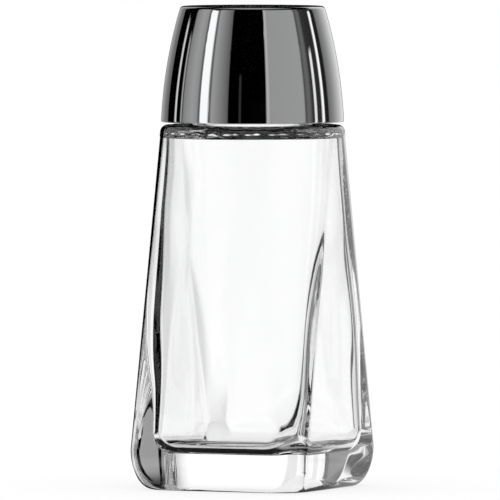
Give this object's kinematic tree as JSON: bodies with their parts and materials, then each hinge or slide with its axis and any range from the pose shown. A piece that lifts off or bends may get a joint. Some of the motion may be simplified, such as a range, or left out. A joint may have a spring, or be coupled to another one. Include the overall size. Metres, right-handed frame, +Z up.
{
  "type": "salt shaker",
  "caption": "Clear glass salt shaker with a rounded-square foot, round shoulder and tapered chrome screw cap with shaker holes; the cap turns and lifts off along its thread.",
  "frame": {"origin": "centre of the foot, on the surface that the shaker stands on", "axes": "+Z up along the axis of the neck and cap, X and Y square to the jar's flat sides"},
  "size_m": [0.0408, 0.0408, 0.1019],
  "materials": {
    "clear_glass": "polished",
    "chrome_plate": "polished",
    "insert_plastic": "satin",
    "washer_rubber": "matte"
  },
  "bodies": {
    "jar": {"glass_jar": "clear_glass"},
    "washer": {"sealing_washer": "washer_rubber"},
    "cap": {"cap_shell": "chrome_plate", "thread_insert": "insert_plastic"}
  },
  "joints": [
    {"name": "cap_lift", "type": "slide", "parent": "jar", "child": "washer", "axis": [0, 0, 1], "range_m": [0, 0.0128]},
    {"name": "cap_turn", "type": "hinge", "parent": "washer", "child": "cap", "pos_m": [0, 0, 0.08], "axis": [0, 0, 1], "range_deg": [0, 1080]}
  ],
  "couplings": [
    {"joint": "cap_lift", "follows": "cap_turn", "m_per_rad": 0.0006737}
  ]
}
